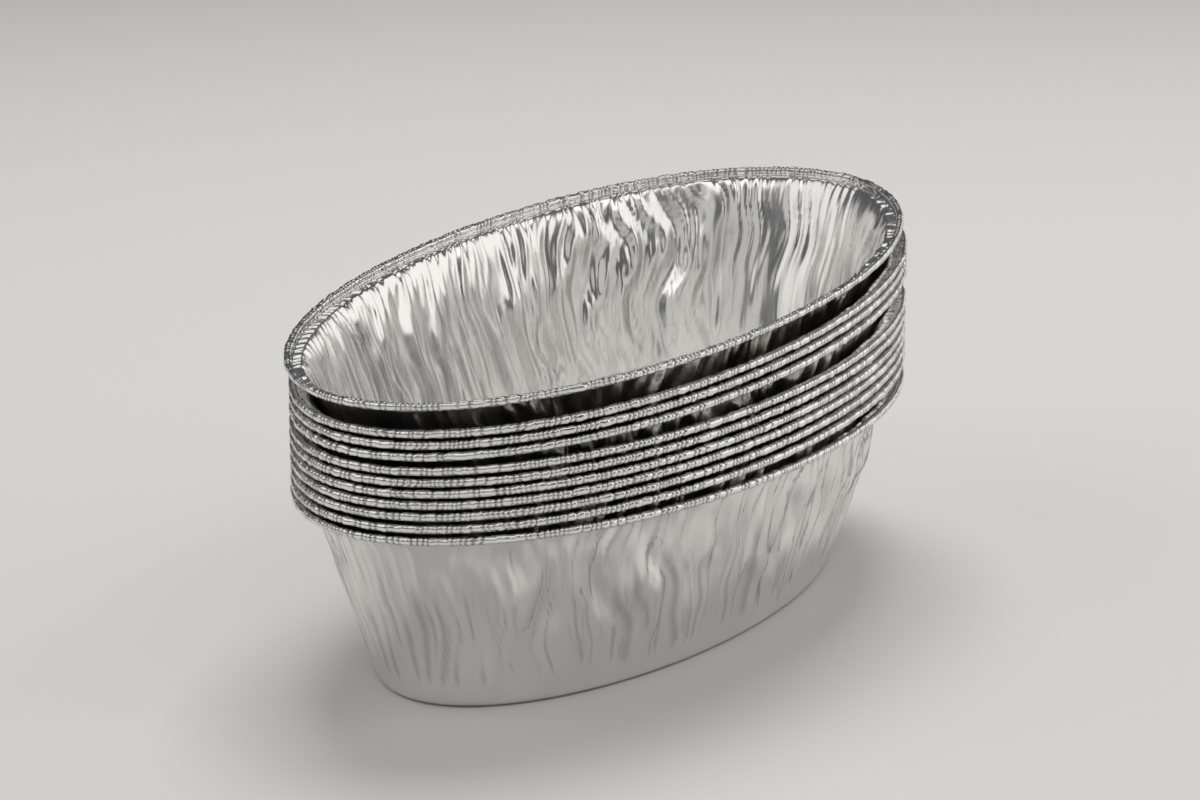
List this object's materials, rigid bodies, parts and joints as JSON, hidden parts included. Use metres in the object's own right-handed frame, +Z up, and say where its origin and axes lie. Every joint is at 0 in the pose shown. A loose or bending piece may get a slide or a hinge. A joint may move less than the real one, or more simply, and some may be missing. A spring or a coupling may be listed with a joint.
{
  "type": "oval foil loaf pan nest",
  "caption": "Nest of disposable oval aluminium-foil loaf pans with wrinkled tapered walls, a flat ledge and a rolled rim; each pan lifts out of the one below it.",
  "frame": {"origin": "middle of the underside of the bottom pan's floor", "axes": "+Z up, +X along the oval towards the end where the rims stand furthest apart"},
  "size_m": [0.253, 0.1354, 0.1061],
  "materials": {
    "foil": "bright pressed foil, wrinkled on the walls and creased on the rim"
  },
  "bodies": {
    "pan_01": {"pan_01": "foil"},
    "pan_02": {"pan_02": "foil"},
    "pan_03": {"pan_03": "foil"},
    "pan_04": {"pan_04": "foil"},
    "pan_05": {"pan_05": "foil"},
    "pan_06": {"pan_06": "foil"},
    "pan_07": {"pan_07": "foil"},
    "pan_08": {"pan_08": "foil"},
    "pan_09": {"pan_09": "foil"},
    "pan_10": {"pan_10": "foil"},
    "pan_11": {"pan_11": "foil"}
  },
  "joints": [
    {"name": "lift_02", "type": "slide", "parent": "pan_01", "child": "pan_02", "axis": [0, 0, 1], "range_m": [0, 0.06]},
    {"name": "lift_03", "type": "slide", "parent": "pan_02", "child": "pan_03", "axis": [0, 0, 1], "range_m": [0, 0.06]},
    {"name": "lift_04", "type": "slide", "parent": "pan_03", "child": "pan_04", "axis": [0, 0, 1], "range_m": [0, 0.06]},
    {"name": "lift_05", "type": "slide", "parent": "pan_04", "child": "pan_05", "axis": [0, 0, 1], "range_m": [0, 0.06]},
    {"name": "lift_06", "type": "slide", "parent": "pan_05", "child": "pan_06", "axis": [0, 0, 1], "range_m": [0, 0.06]},
    {"name": "lift_07", "type": "slide", "parent": "pan_06", "child": "pan_07", "axis": [0, 0, 1], "range_m": [0, 0.06]},
    {"name": "lift_08", "type": "slide", "parent": "pan_07", "child": "pan_08", "axis": [0, 0, 1], "range_m": [0, 0.06]},
    {"name": "lift_09", "type": "slide", "parent": "pan_08", "child": "pan_09", "axis": [0, 0, 1], "range_m": [0, 0.06]},
    {"name": "lift_10", "type": "slide", "parent": "pan_09", "child": "pan_10", "axis": [0, 0, 1], "range_m": [0, 0.06]},
    {"name": "lift_11", "type": "slide", "parent": "pan_10", "child": "pan_11", "axis": [0, 0, 1], "range_m": [0, 0.06]}
  ]
}
